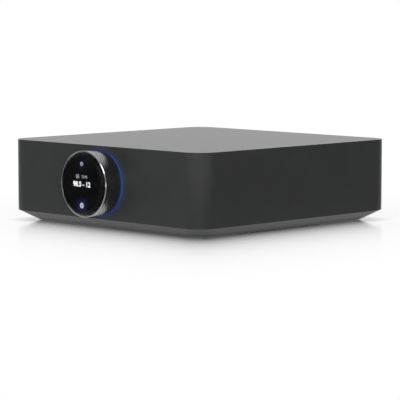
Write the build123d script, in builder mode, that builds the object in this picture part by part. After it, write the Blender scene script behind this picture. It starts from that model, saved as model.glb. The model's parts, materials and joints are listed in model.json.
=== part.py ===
"""A compact streaming amplifier for a shelf or desk.

A low square cabinet with rounded upright corners stands on a bevelled base and a
rubber ring. A thick round dial with a glass display in its middle stands out of the
front, with a light ring round its root. The dial's ring turns on a bush round a
fixed hub. The back has a recessed panel with a mains inlet, network, HDMI and
optical sockets, three phono sockets, four binding posts and a reset button.

Millimetres. +Z is up, the front faces -Y, and the origin is on the table under the
middle of the cabinet, at the centre of the foot ring.
"""

from build123d import *
import os
from math import cos, radians, sin

os.makedirs("parts", exist_ok=True)

# Cabinet
body_width = 220.0
body_depth = 220.0
overall_height = 66.0
corner_radius = 16.5
wall = 2.5
top_thickness = 2.5
top_edge_radius = 0.5

# Clearances
fixed_gap = 0.2
snug_gap = 0.05
running_gap = 0.08
thrust_gap = 0.15
moving_gap = 0.3

# Base and foot
foot_height = 0.8
bevel_height = 7.5
bevel_inset = 11.5
base_corner_radius = 8.0
base_thickness = 2.5
lip_height = 2.0
lip_thickness = 2.0
foot_radius = 76.0
foot_width = 6.0
foot_groove_depth = 1.2
base_vent_count = 15
base_vent_spacing = 6.4
base_vent_width = 2.4
base_vent_length = 10.0
base_vent_margin = 2.4

# Screws: shank radius, head radius, head height
base_screw = (1.45, 2.9, 1.6)
base_screw_inset = (16.0, 22.5)
base_screw_grip = 8.0
base_screw_sink = 0.3
boss_radius = 4.5
boss_rib = 1.6
hub_screw = (1.2, 2.4, 1.4)
hub_screw_grip = 3.6
panel_screw = (1.25, 2.3)
panel_screw_grip = 5.0
panel_screw_inset = 3.0
panel_screw_drop = 6.0
board_screw = (1.2, 2.4, 1.3)
board_screw_grip = 4.5
screw_end_gap = 0.5
drive_radius = 1.0
drive_depth = 0.8

# Dial: reaches are measured outwards from the front wall's face
dial_margin = 2.78
dial_reach = 18.2
dial_taper = 1.07
dial_edge_facet = (0.7, 0.5)
rim_width = 0.95
glass_gap = 0.25
glass_thickness = 2.5
glass_edge_width = 3.2
glass_edge_drop = 2.4
glass_proud = 2.4
screen_border = 2.7
display_thickness = 1.5
carrier_floor = 1.4
carrier_plug_wall = 1.2
carrier_plug_length = 7.0
carrier_ledge = 1.6
header_size = (16.0, 2.5)
header_slot_gap = 1.0
display_board_thickness = 1.2
display_plug = (14.0, 3.0, 2.0)

# Hub, bush and magnet, from the dial's skirt inwards
dial_skirt = 0.8
hub_wall = 2.4
hub_collar = 1.4
hub_plate = 2.5
bush_wall = 0.9
bush_flange = 0.75
bush_flange_thickness = 0.8
magnet_width = 1.3
magnet_length = 2.0
magnet_gap = 0.2
ear_gap = 1.7
ear_angle = 30.0
ear_radius = 4.5

# Light ring and its board
light_ring_reach = 0.9
light_ring_show = 0.35
light_flange_width = 0.95
light_flange_thickness = 0.8
led_groove_depth = 1.2
led_groove_wall = 0.5
led_count = 16
led_size = (1.6, 0.8, 0.6)
board_thickness = 1.6
sensor_size = (2.9, 1.3, 1.0)
sensor_count = 2

# Ribbon from the display to the main board
ribbon_width = 12.0
ribbon_thickness = 0.3
ribbon_bend = 4.0
ribbon_turn = 6.0
ribbon_socket = (16.0, 5.0, 2.4)

# Rear panel. Places on it run to the right and up from its middle, seen from behind
panel_width = 184.0
panel_edge = 3.85
panel_corner = 6.0
panel_flange = 1.5
recess_width = 168.0
recess_height = 36.0
recess_corner = 4.0
recess_depth = 13.0
recess_wall = 2.0
panel_peg = 0.7
peg_across = 66.0
post_window_margin = 5.0
vent_count = 17
vent_spacing = 5.0
vent_width = 2.0
vent_length = 8.0
vent_place = (2.0, 11.5)

# Boards
main_board_front_gap = 22.5
board_gap = 0.5
power_board_gap = 1.0
amplifier_board_gap = 4.0
side_board_drop = 10.0
side_board_end_gap = 41.0
side_board_gap = 8.0
power_board_width = 47.0
amplifier_board_width = 39.0
board_inset = 5.0
post_radius = 3.4

# Mains inlet
inlet_place = (-66.0, 0.0)
inlet_flange = (30.7, 24.0, 1.8)
inlet_body = (27.4, 20.0, 19.0)
inlet_cavity = (24.6, 16.8, 16.5)
inlet_corner = 4.5
inlet_pin = (2.0, 4.0)
inlet_pin_spacing = 7.0
inlet_pin_offset = 2.0
inlet_pin_recess = 4.6
inlet_tab = 7.0

# Network, HDMI and optical sockets, which stand on the main board
socket_proud = 0.4
network_place = -32.0
network_size = (16.0, 13.4, 20.0)
network_cavity = (11.8, 7.6, 13.5)
network_floor = 1.8
network_latch = (6.2, 2.2)
contact_count = 8
contact_spacing = 1.02
contact_width = 0.4
contact_rise = 0.8
hdmi_place = -12.0
hdmi_size = (15.0, 6.2, 12.0)
hdmi_wall = 0.5
hdmi_depth = 10.0
hdmi_corner = 1.2
hdmi_tongue_height = 1.0
hdmi_tongue_recess = 0.8
hdmi_tongue_gap = 1.3
optical_place = 4.0
optical_size = (11.4, 12.0, 14.0)
optical_mouth = 8.4
optical_rise = 5.4
optical_depth = 11.5
optical_well_radius = 1.2
shutter_thickness = 0.8
shutter_recess = 0.5
shutter_pin_radius = 0.5
shutter_pin_length = 0.8
shutter_pocket = 1.6

# Phono sockets
phono_places = (16.5, 30.0, 43.5)
phono_rise = 8.0
phono_reach = 9.0
phono_radius = 4.15
phono_wall = 0.75
phono_neck_radius = 3.9
phono_neck_show = 1.0
phono_contact_radius = 2.4
phono_hole_radius = 1.65
phono_hole_depth = 9.0
phono_sink = 0.8
phono_seat = 3.0
phono_block_depth = 11.0
phono_block_height = 14.0
phono_margin = 6.2
phono_collar = 5.2

# Binding posts
post_middle = 65.5
post_across = 19.05
post_up = 19.0
post_block_margin = 7.0
post_block_thickness = 2.0
post_block_corner = 3.0
stud_radius = 3.0
stud_short = 0.6
stud_tail = 9.0
stud_bore_radius = 2.05
stud_bore_depth = 18.0
washer_radius = 5.6
washer_thickness = 1.0
cap_radius = 6.2
cap_chamfer = 0.5
flute_count = 12
flute_radius = 0.8
nut_across = 9.0
nut_thickness = 2.5
nut_board_gap = 1.15
touch_gap = 0.1

# Reset button
reset_place = -43.2
reset_rise = 3.2
reset_radius = 1.8
reset_proud = 0.8
reset_travel = 0.4
reset_flange_radius = 2.6
reset_flange = 0.8
reset_stem_radius = 1.2
reset_stem = 3.0
reset_switch_size = (6.0, 3.6)

# What the boards carry: width, depth, height
heat_sink_size = (34.0, 60.0, 24.0)
heat_sink_floor = 4.0
heat_sink_fins = 8
heat_sink_fin = 1.4
heat_sink_end_gap = 7.0
amplifier_chip = (14.0, 14.0, 2.0)
amplifier_chip_spacing = 30.0
choke_radius = 6.6
choke_height = 12.0
choke_hole = 2.4
choke_spacing = 16.0
choke_end_gap = 33.0
processor_size = (21.0, 21.0, 2.2)
processor_place = (-12.0, -8.0)
wireless_size = (16.0, 27.0, 2.6)
wireless_place = (30.0, -50.0)
capacitor_radius = 9.0
capacitor_height = 32.0
capacitor_spacing = 20.0
part_gap = 2.0
transformer_size = (34.0, 30.0, 30.0)
transformer_core_height = 8.0
transformer_leg = 9.0
mains_choke_size = (20.0, 14.0, 18.0)
terminal_size = (22.0, 9.0, 10.0)
terminal_inset = 9.0

# Leads inside
lead_radius = 1.1
lead_spacing = 5.0
lead_bend = 4.0
lead_run = 8.0
supply_lead_count = 3
supply_lead_spacing = 3.5
supply_lead_place = 15.0
supply_lead_inset = 3.0
supply_lead_rise = 5.0

# Worked out from the sizes above
base_floor = foot_height
floor_top = base_floor + base_thickness
seam = foot_height + bevel_height
half_width = body_width / 2
half_depth = body_depth / 2
ceiling = overall_height - top_thickness
boss_meet = seam + lip_height + fixed_gap
bevel_wall = wall + fixed_gap + lip_thickness
screw_run = (half_width - base_screw_inset[0], half_depth - base_screw_inset[1])
screw_places = [(x * screw_run[0], y * screw_run[1]) for x in (-1, 1) for y in (-1, 1)]

face_middle = (overall_height + seam) / 2
dial_height = face_middle
dial_front_radius = (overall_height - seam) / 2 - dial_margin
dial_rear_radius = dial_front_radius - dial_taper
dial_rear = light_ring_reach + moving_gap
glass_radius = dial_front_radius - rim_width - glass_gap
display_radius = glass_radius - screen_border
magnet_outer = dial_rear_radius - dial_skirt
bush_outer = magnet_outer - magnet_width - magnet_gap - bush_flange
bush_inner = bush_outer - bush_wall
bush_seat = dial_rear + magnet_length - bush_flange_thickness
dial_bore = bush_outer + running_gap
hub_radius = bush_inner - snug_gap
collar_radius = hub_radius + hub_collar
land_rear = dial_rear + magnet_length + thrust_gap
glass_back = dial_reach + glass_proud - glass_thickness
carrier_back = glass_back - display_thickness - carrier_floor
land_front = carrier_back - thrust_gap
light_inner = collar_radius + fixed_gap
light_ring_radius = dial_rear_radius + light_ring_show
light_flange_radius = light_ring_radius + light_flange_width
ear_place = light_flange_radius + ear_gap + ear_radius
hub_front = -wall - light_flange_thickness - board_thickness
hub_back = hub_front - hub_plate
hub_bore = hub_radius - hub_wall
plug_radius = hub_bore - snug_gap
plug_bore = plug_radius - carrier_plug_wall
plug_back = carrier_back - carrier_plug_length
display_back = plug_back + display_board_thickness
ear_across = ear_place * cos(radians(ear_angle))
ear_up = ear_place * sin(radians(ear_angle))
ear_places = [(x * ear_across, y * ear_up) for x in (-1, 1) for y in (-1, 1)]
led_circle = (light_inner + light_ring_radius) / 2

panel_middle = face_middle
panel_height = overall_height - seam - 2 * panel_edge
panel_screw_rise = panel_height / 2 - panel_screw_drop
recess_floor = half_depth - recess_depth
panel_inner = recess_floor - recess_wall
pan_width = recess_width + 2 * recess_wall
pan_height = recess_height + 2 * recess_wall
panel_screw_run = panel_width / 2 - panel_screw_inset
panel_screw_places = [(x * panel_screw_run, y * panel_screw_rise) for x in (-1, 1) for y in (-1, 1)]
side_board_outer = half_width - side_board_gap
power_board_inner = side_board_outer - power_board_width
amplifier_board_inner = side_board_outer - amplifier_board_width
main_board_left = amplifier_board_gap - amplifier_board_inner
main_board_right = power_board_inner - power_board_gap
main_board_front = main_board_front_gap - half_depth
main_board_back = panel_inner - board_gap
socket_face = recess_floor + socket_proud
main_board_top = panel_middle - post_up / 2 - nut_across / 2 - nut_board_gap
side_board_top = main_board_top - side_board_drop
socket_level = main_board_top - panel_middle
post_places = [(post_middle + x * post_across / 2, y * post_up / 2) for x in (-1, 1) for y in (-1, 1)]
post_window = (post_across + 2 * post_window_margin, post_up + 2 * post_window_margin)
stud_length = recess_depth - stud_short
side_board_end = half_depth - side_board_end_gap

dial_axis = Axis((0, -half_depth, dial_height), (0, 1, 0))
dial_section = Plane(origin=(0, -half_depth, dial_height), x_dir=(1, 0, 0), z_dir=(0, 0, -1))


def front_plane(reach):
    """Faces the viewer, that far in front of the front wall, centred on the dial."""
    return Plane(origin=(0, -half_depth - reach, dial_height), x_dir=(1, 0, 0), z_dir=(0, -1, 0))


def rear_plane(y):
    """Faces backwards at that y, centred on the rear panel, x to the right seen from behind."""
    return Plane(origin=(0, y, panel_middle), x_dir=(-1, 0, 0), z_dir=(0, 1, 0))


def level(z):
    """A horizontal plane at that height."""
    return Plane.XY.offset(z)


def section(*points):
    """A closed section of a turned dial piece, its points given as (radius, reach)."""
    with BuildSketch(dial_section) as sketch:
        with BuildLine():
            Polyline(*points, close=True)
        make_face()
    return sketch.sketch


def finish(builder, label):
    """Labels a finished piece and writes it under that name."""
    builder.part.label = label
    export_step(builder.part, f"parts/{label}.step")


# Board places: centre, width and length, and where its screws go
main_board_size = (main_board_right - main_board_left, main_board_back - main_board_front)
main_board_middle = ((main_board_right + main_board_left) / 2, (main_board_back + main_board_front) / 2)
power_board_size = (power_board_width, 2 * side_board_end)
power_board_middle = (power_board_inner + power_board_width / 2, 0)
amplifier_board_size = (amplifier_board_width, 2 * side_board_end)
amplifier_board_middle = (-amplifier_board_inner - amplifier_board_width / 2, 0)


def screw_holes(size, middle):
    """The four screw places of a board of that size."""
    return [
        (middle[0] + x * (size[0] / 2 - board_inset), middle[1] + y * (size[1] / 2 - board_inset))
        for x in (-1, 1)
        for y in (-1, 1)
    ]


main_screws = screw_holes(main_board_size, main_board_middle)
side_screws = screw_holes(power_board_size, power_board_middle) + screw_holes(
    amplifier_board_size, amplifier_board_middle
)

# Cabinet shell: one casting, open below, with bosses for what is screwed to it
with BuildPart() as housing:
    with BuildSketch(level(seam)):
        RectangleRounded(body_width, body_depth, corner_radius)
    extrude(amount=overall_height - seam)
    fillet(housing.faces().sort_by(Axis.Z)[-1].edges(), top_edge_radius)
    with BuildSketch(level(seam)):
        RectangleRounded(body_width - 2 * wall, body_depth - 2 * wall, corner_radius - wall)
    extrude(amount=ceiling - seam, mode=Mode.SUBTRACT)
    with BuildSketch(level(boss_meet)):
        for x, y in screw_places:
            with Locations((x, y)):
                Circle(boss_radius)
            with Locations(((x + x / abs(x) * (half_width - wall)) / 2, y)):
                Rectangle(half_width - wall - abs(x), boss_rib)
    extrude(amount=ceiling - boss_meet)
    with BuildSketch(level(boss_meet)):
        with Locations(*screw_places):
            Circle(base_screw[0] + snug_gap)
    extrude(amount=base_screw_grip + screw_end_gap, mode=Mode.SUBTRACT)
    with BuildSketch(front_plane(-wall)):
        with Locations(*ear_places):
            Circle(ear_radius)
    extrude(amount=hub_front + wall)
    with BuildSketch(front_plane(hub_front)):
        with Locations(*ear_places):
            Circle(hub_screw[0] + snug_gap)
    extrude(amount=hub_screw_grip + screw_end_gap, mode=Mode.SUBTRACT)
    with BuildSketch(front_plane(0)):
        Circle(light_ring_radius + fixed_gap)
    extrude(amount=-wall, mode=Mode.SUBTRACT)
    with BuildSketch(rear_plane(half_depth)):
        Rectangle(pan_width + 2 * fixed_gap, pan_height + 2 * fixed_gap)
    extrude(amount=-wall, mode=Mode.SUBTRACT)
    with BuildSketch(rear_plane(half_depth)):
        RectangleRounded(
            panel_width + 2 * fixed_gap, panel_height + 2 * fixed_gap, panel_corner + fixed_gap
        )
    extrude(amount=-panel_flange, mode=Mode.SUBTRACT)
    with BuildSketch(rear_plane(half_depth - wall)):
        with Locations(*panel_screw_places):
            Circle(panel_screw[1])
    extrude(amount=-panel_screw_grip)
    with BuildSketch(rear_plane(half_depth - panel_flange)):
        with Locations(*panel_screw_places):
            Circle(panel_screw[0] + snug_gap)
    extrude(amount=-panel_screw_grip, mode=Mode.SUBTRACT)
finish(housing, "housing")


# Base: a bevelled tray with a lip into the shell and posts for the boards
def bevel_outline(z, inset):
    """Width, depth and corner radius of the bevel's outline at a height, drawn in by an inset."""
    share = (z - base_floor) / bevel_height
    drawn = 2 * (bevel_inset * (1 - share) + inset)
    radius = base_corner_radius + (corner_radius - base_corner_radius) * share - inset
    return body_width - drawn, body_depth - drawn, radius


vent_reach = foot_radius + foot_width / 2 + fixed_gap + base_vent_margin + base_vent_length / 2
with BuildPart() as base_tray:
    for z in (base_floor, seam):
        with BuildSketch(level(z)):
            RectangleRounded(*bevel_outline(z, 0))
    loft(ruled=True)
    with BuildSketch(level(seam)):
        RectangleRounded(*bevel_outline(seam, wall + fixed_gap))
    extrude(amount=lip_height)
    with BuildSketch(level(floor_top)) as pocket_bottom:
        RectangleRounded(*bevel_outline(floor_top, bevel_wall))
    with BuildSketch(level(seam)) as pocket_top:
        RectangleRounded(*bevel_outline(seam, bevel_wall))
    loft([pocket_bottom.sketch, pocket_top.sketch], ruled=True, mode=Mode.SUBTRACT)
    with BuildSketch(level(seam)):
        RectangleRounded(*bevel_outline(seam, bevel_wall))
    extrude(amount=lip_height, mode=Mode.SUBTRACT)
    with BuildSketch(level(floor_top)):
        with Locations(*screw_places):
            Circle(boss_radius)
    extrude(amount=boss_meet - floor_top)
    for top, places in ((main_board_top, main_screws), (side_board_top, side_screws)):
        with BuildSketch(level(floor_top)):
            with Locations(*places):
                Circle(post_radius)
        extrude(amount=top - board_thickness - floor_top)
        with BuildSketch(level(top - board_thickness)):
            with Locations(*places):
                Circle(board_screw[0] + snug_gap)
        extrude(amount=-board_screw_grip - screw_end_gap, mode=Mode.SUBTRACT)
    with BuildSketch(level(base_floor)):
        with Locations(*screw_places):
            Circle(base_screw[0] + snug_gap)
    extrude(amount=boss_meet - base_floor, mode=Mode.SUBTRACT)
    with BuildSketch(level(base_floor)):
        with Locations(*screw_places):
            Circle(base_screw[1] + fixed_gap)
    extrude(amount=base_screw[2] + base_screw_sink, mode=Mode.SUBTRACT)
    with BuildSketch(level(base_floor)):
        Circle(foot_radius + foot_width / 2 + fixed_gap)
        Circle(foot_radius - foot_width / 2 - fixed_gap, mode=Mode.SUBTRACT)
    extrude(amount=foot_groove_depth, mode=Mode.SUBTRACT)
    with BuildSketch(level(base_floor)):
        for side in (-1, 1):
            with Locations((side * vent_reach, 0)):
                with GridLocations(0, base_vent_spacing, 1, base_vent_count):
                    SlotOverall(base_vent_length, base_vent_width)
    extrude(amount=base_thickness, mode=Mode.SUBTRACT)
finish(base_tray, "base_tray")

with BuildPart() as foot_ring:
    with BuildSketch(Plane.XY):
        Circle(foot_radius + foot_width / 2)
        Circle(foot_radius - foot_width / 2, mode=Mode.SUBTRACT)
    extrude(amount=foot_height + foot_groove_depth)
finish(foot_ring, "foot_ring")

# Dial: the turning ring, its magnet, and the bush and hub that carry it
with BuildPart() as dial_ring:
    front_bore = glass_radius + glass_gap
    magnet_bore = magnet_outer + snug_gap
    revolve(
        section(
            (dial_bore, land_rear),
            (dial_bore, land_front),
            (front_bore, land_front),
            (front_bore, dial_reach),
            (dial_front_radius - dial_edge_facet[0], dial_reach),
            (dial_front_radius, dial_reach - dial_edge_facet[1]),
            (dial_rear_radius, dial_rear),
            (magnet_bore, dial_rear),
            (magnet_bore, land_rear),
        ),
        axis=dial_axis,
    )
finish(dial_ring, "dial_ring")

with BuildPart() as magnet_ring:
    revolve(
        section(
            (magnet_outer - magnet_width, land_rear - magnet_length),
            (magnet_outer - magnet_width, land_rear),
            (magnet_outer, land_rear),
            (magnet_outer, land_rear - magnet_length),
        ),
        axis=dial_axis,
    )
finish(magnet_ring, "magnet_ring")

with BuildPart() as dial_bush:
    revolve(
        section(
            (bush_inner, bush_seat),
            (bush_inner, carrier_back - snug_gap),
            (bush_outer, carrier_back - snug_gap),
            (bush_outer, bush_seat + bush_flange_thickness),
            (bush_outer + bush_flange, bush_seat + bush_flange_thickness),
            (bush_outer + bush_flange, bush_seat),
        ),
        axis=dial_axis,
    )
finish(dial_bush, "dial_bush")

with BuildPart() as dial_hub:
    with BuildSketch(front_plane(hub_front)):
        Circle(light_flange_radius)
        RectangleRounded(
            2 * (ear_across + ear_radius),
            2 * (ear_up + ear_radius),
            ear_radius,
        )
    extrude(amount=-hub_plate)
    with BuildSketch(front_plane(hub_front)):
        Circle(collar_radius)
    extrude(amount=bush_seat - hub_front)
    with BuildSketch(front_plane(hub_front)):
        Circle(hub_radius)
    extrude(amount=carrier_back - hub_front)
    with BuildSketch(front_plane(carrier_back)):
        Circle(hub_bore)
    extrude(amount=hub_back - carrier_back, mode=Mode.SUBTRACT)
    with BuildSketch(front_plane(hub_front)):
        with Locations(*ear_places):
            Circle(hub_screw[0] + fixed_gap)
    extrude(amount=-hub_plate, mode=Mode.SUBTRACT)
finish(dial_hub, "dial_hub")

# Display: a cup that plugs into the hub and carries the screen and the glass
with BuildPart() as display_carrier:
    revolve(
        section(
            (0, carrier_back),
            (0, carrier_back + carrier_floor),
            (display_radius + fixed_gap, carrier_back + carrier_floor),
            (display_radius + fixed_gap, glass_back),
            (glass_radius, glass_back),
            (glass_radius, carrier_back),
            (plug_radius, carrier_back),
            (plug_radius, plug_back),
            (plug_bore, plug_back),
            (plug_bore, display_back),
            (plug_bore - carrier_ledge, display_back),
            (plug_bore - carrier_ledge, carrier_back),
        ),
        axis=dial_axis,
    )
    with BuildSketch(front_plane(carrier_back)):
        Rectangle(header_size[0] + header_slot_gap, header_size[1] + header_slot_gap)
    extrude(amount=carrier_floor, mode=Mode.SUBTRACT)
finish(display_carrier, "display_carrier")

with BuildPart() as display_panel:
    with BuildSketch(front_plane(carrier_back + carrier_floor)):
        Circle(display_radius)
    extrude(amount=display_thickness)
finish(display_panel, "display_panel")

with BuildPart() as cover_glass:
    glass_front = glass_back + glass_thickness
    with BuildSketch(dial_section):
        with BuildLine():
            Polyline(
                (glass_radius, glass_front - glass_edge_drop),
                (glass_radius, glass_back),
                (0, glass_back),
                (0, glass_front),
                (glass_radius - glass_edge_width, glass_front),
            )
            EllipticalCenterArc(
                (glass_radius - glass_edge_width, glass_front - glass_edge_drop),
                glass_edge_width,
                glass_edge_drop,
                start_angle=0,
                arc_size=90,
            )
        make_face()
    revolve(axis=dial_axis)
finish(cover_glass, "cover_glass")

with BuildPart() as display_board:
    with BuildSketch(front_plane(plug_back)):
        Circle(plug_bore - snug_gap)
    extrude(amount=display_board_thickness)
    with BuildSketch(front_plane(display_back)):
        Rectangle(*header_size)
    extrude(amount=carrier_back + carrier_floor - display_back)
    with BuildSketch(front_plane(plug_back)):
        Rectangle(display_plug[0], display_plug[1])
    extrude(amount=-display_plug[2])
finish(display_board, "display_board")

# Light ring round the dial's root, and the board behind it
with BuildPart() as light_ring:
    revolve(
        section(
            (light_inner, -wall - light_flange_thickness),
            (light_inner, light_ring_reach),
            (light_ring_radius, light_ring_reach),
            (light_ring_radius, -wall),
            (light_flange_radius, -wall),
            (light_flange_radius, -wall - light_flange_thickness),
        ),
        axis=dial_axis,
    )
    with BuildSketch(front_plane(-wall - light_flange_thickness)):
        Circle(light_ring_radius - led_groove_wall)
        Circle(light_inner + led_groove_wall, mode=Mode.SUBTRACT)
    extrude(amount=led_groove_depth, mode=Mode.SUBTRACT)
finish(light_ring, "light_ring")

with BuildPart() as led_board:
    with BuildSketch(front_plane(hub_front)):
        Circle(light_flange_radius)
        Circle(light_inner, mode=Mode.SUBTRACT)
    extrude(amount=board_thickness)
finish(led_board, "led_board")

with BuildPart() as leds:
    with BuildSketch(front_plane(hub_front + board_thickness)):
        with PolarLocations(led_circle, led_count):
            Rectangle(led_size[1], led_size[0])
    extrude(amount=led_size[2])
finish(leds, "leds")

with BuildPart() as dial_sensor:
    with BuildSketch(front_plane(hub_front + board_thickness)):
        with PolarLocations(led_circle, sensor_count, 180 / led_count, 720 / led_count):
            Rectangle(sensor_size[1], sensor_size[0])
    extrude(amount=sensor_size[2])
finish(dial_sensor, "dial_sensor")

# Flat cable from the display back through the hub and down to the main board
ribbon_start = -half_depth - plug_back + display_plug[2]
ribbon_drop = -half_depth - hub_back + ribbon_turn
ribbon_low = main_board_top + ribbon_socket[2] / 2
ribbon_end = main_board_front + board_inset
with BuildPart() as display_ribbon:
    with BuildLine(Plane.YZ) as ribbon_route:
        FilletPolyline(
            (ribbon_start, dial_height),
            (ribbon_drop, dial_height),
            (ribbon_drop, ribbon_low),
            (ribbon_end, ribbon_low),
            radius=ribbon_bend,
        )
    with BuildSketch(Plane(origin=(0, ribbon_start, dial_height), x_dir=(1, 0, 0), z_dir=(0, 1, 0))):
        Rectangle(ribbon_width, ribbon_thickness)
    sweep(path=ribbon_route.line)
finish(display_ribbon, "display_ribbon")

# Rear panel: a frame with deep walls, its flange let into the housing's back
peg_places = [(x * peg_across, y * (pan_height - recess_wall) / 2) for x in (-1, 0, 1) for y in (-1, 1)]
with BuildPart() as rear_panel:
    with BuildSketch(rear_plane(half_depth)):
        RectangleRounded(panel_width, panel_height, panel_corner)
    extrude(amount=-panel_flange)
    with BuildSketch(rear_plane(half_depth)):
        RectangleRounded(pan_width, pan_height, recess_corner + recess_wall)
    extrude(amount=-recess_depth)
    with BuildSketch(rear_plane(half_depth)):
        RectangleRounded(recess_width, recess_height, recess_corner)
    extrude(amount=-recess_depth, mode=Mode.SUBTRACT)
    with BuildSketch(rear_plane(recess_floor)):
        with Locations(*peg_places):
            Circle(panel_peg)
    extrude(amount=-recess_wall)
    with BuildSketch(rear_plane(half_depth)):
        with Locations(*panel_screw_places):
            Circle(panel_screw[1] + snug_gap)
    extrude(amount=panel_screw[0] - panel_screw[1], taper=45, mode=Mode.SUBTRACT)
    with BuildSketch(rear_plane(half_depth)):
        with Locations(*panel_screw_places):
            Circle(panel_screw[0] + fixed_gap)
    extrude(amount=-panel_flange, mode=Mode.SUBTRACT)
finish(rear_panel, "rear_panel")

# Socket plate: closes the frame's inner end, held on its pegs
with BuildPart() as socket_plate:
    with BuildSketch(rear_plane(recess_floor - touch_gap)):
        RectangleRounded(pan_width, pan_height, recess_corner + recess_wall)
        with Locations(*peg_places):
            Circle(panel_peg + fixed_gap, mode=Mode.SUBTRACT)
    extrude(amount=touch_gap - recess_wall)
    with BuildSketch(rear_plane(recess_floor)):
        with Locations(inlet_place):
            Rectangle(inlet_body[0] + 2 * fixed_gap, inlet_body[1] + 2 * fixed_gap)
        for place, size in (
            (network_place, network_size),
            (hdmi_place, hdmi_size),
            (optical_place, optical_size),
        ):
            with Locations((place, socket_level + size[1] / 2)):
                Rectangle(size[0] + 2 * fixed_gap, size[1] + 2 * fixed_gap)
        with Locations(*[(place, socket_level + phono_rise) for place in phono_places]):
            Circle(phono_collar + fixed_gap)
        with Locations((post_middle, 0)):
            Rectangle(post_window[0] + 2 * fixed_gap, post_window[1] + 2 * fixed_gap)
        with Locations((reset_place, socket_level + reset_rise)):
            Circle(reset_radius + running_gap)
        with Locations(vent_place):
            with GridLocations(vent_spacing, 0, vent_count, 1):
                SlotOverall(vent_length, vent_width, rotation=90)
    extrude(amount=-recess_wall, mode=Mode.SUBTRACT)
finish(socket_plate, "socket_plate")

# Mains inlet: a flanged insulating shell with three pins
with BuildPart() as mains_inlet:
    with BuildSketch(rear_plane(recess_floor)):
        with Locations(inlet_place):
            RectangleRounded(inlet_flange[0], inlet_flange[1], post_block_corner)
    extrude(amount=inlet_flange[2])
    with BuildSketch(rear_plane(recess_floor)):
        with Locations(inlet_place):
            Rectangle(inlet_body[0], inlet_body[1])
    extrude(amount=-inlet_body[2])
    inlet_face = recess_floor + inlet_flange[2]
    with BuildSketch(rear_plane(inlet_face)):
        with Locations(inlet_place):
            RectangleRounded(inlet_cavity[0], inlet_cavity[1], 1)
            with Locations((0, inlet_cavity[1] / 2)):
                Rectangle(
                    inlet_cavity[0],
                    inlet_corner,
                    align=(Align.CENTER, Align.MAX),
                    mode=Mode.SUBTRACT,
                )
                Trapezoid(inlet_cavity[0], inlet_corner, 45, align=(Align.CENTER, Align.MAX))
    extrude(amount=-inlet_cavity[2], mode=Mode.SUBTRACT)
    pin_places = [
        (inlet_place[0] - inlet_pin_spacing, inlet_place[1] - inlet_pin_offset),
        (inlet_place[0] + inlet_pin_spacing, inlet_place[1] - inlet_pin_offset),
        (inlet_place[0], inlet_place[1] + inlet_pin_offset),
    ]
    with BuildSketch(rear_plane(inlet_face - inlet_cavity[2])):
        with Locations(*pin_places):
            Rectangle(inlet_pin[0] + 2 * snug_gap, inlet_pin[1] + 2 * snug_gap)
    extrude(amount=-inlet_body[2], mode=Mode.SUBTRACT)
finish(mains_inlet, "mains_inlet")

with BuildPart() as inlet_pins:
    with BuildSketch(rear_plane(inlet_face - inlet_pin_recess)):
        with Locations(*pin_places):
            Rectangle(*inlet_pin)
    extrude(amount=-(inlet_body[2] + inlet_flange[2] - inlet_pin_recess + inlet_tab))
finish(inlet_pins, "inlet_pins")

# Network socket: a screened box with a keyed mouth and eight contacts along its roof
with BuildPart() as network_socket:
    with BuildSketch(rear_plane(socket_face)):
        with Locations((network_place, socket_level)):
            Rectangle(network_size[0], network_size[1], align=(Align.CENTER, Align.MIN))
    extrude(amount=-network_size[2])
    with BuildSketch(rear_plane(socket_face)):
        with Locations((network_place, socket_level + network_floor)):
            Rectangle(network_latch[0], network_latch[1], align=(Align.CENTER, Align.MIN))
        with Locations((network_place, socket_level + network_floor + network_latch[1])):
            Rectangle(network_cavity[0], network_cavity[1], align=(Align.CENTER, Align.MIN))
    extrude(amount=-network_cavity[2], mode=Mode.SUBTRACT)
finish(network_socket, "network_socket")

contact_roof = socket_level + network_floor + network_latch[1] + network_cavity[1]
with BuildPart() as network_contacts:
    with BuildSketch(rear_plane(socket_face - network_cavity[2])):
        with Locations((network_place, contact_roof)):
            with GridLocations(contact_spacing, 0, contact_count, 1):
                Rectangle(contact_width, contact_rise, align=(Align.CENTER, Align.MAX))
    extrude(amount=network_cavity[2] / 2)
finish(network_contacts, "network_contacts")

# HDMI socket: a folded metal shell round a flat contact tongue
with BuildPart() as hdmi_socket:
    with BuildSketch(rear_plane(socket_face)):
        with Locations((hdmi_place, socket_level)):
            Rectangle(hdmi_size[0], hdmi_size[1], align=(Align.CENTER, Align.MIN))
    extrude(amount=-hdmi_size[2])
    with BuildSketch(rear_plane(socket_face)):
        with BuildLine():
            hdmi_half = hdmi_size[0] / 2 - hdmi_wall
            hdmi_low = socket_level + hdmi_wall
            hdmi_high = socket_level + hdmi_size[1] - hdmi_wall
            Polyline(
                (hdmi_place - hdmi_half + hdmi_corner, hdmi_low),
                (hdmi_place + hdmi_half - hdmi_corner, hdmi_low),
                (hdmi_place + hdmi_half, hdmi_low + hdmi_corner),
                (hdmi_place + hdmi_half, hdmi_high),
                (hdmi_place - hdmi_half, hdmi_high),
                (hdmi_place - hdmi_half, hdmi_low + hdmi_corner),
                close=True,
            )
        make_face()
    extrude(amount=-hdmi_depth, mode=Mode.SUBTRACT)
finish(hdmi_socket, "hdmi_socket")

with BuildPart() as hdmi_tongue:
    with BuildSketch(rear_plane(socket_face - hdmi_depth)):
        with Locations((hdmi_place, socket_level + hdmi_size[1] / 2)):
            Rectangle(hdmi_size[0] - 2 * hdmi_wall - 2 * hdmi_tongue_gap, hdmi_tongue_height)
    extrude(amount=hdmi_depth - hdmi_tongue_recess)
finish(hdmi_tongue, "hdmi_tongue")

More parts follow.
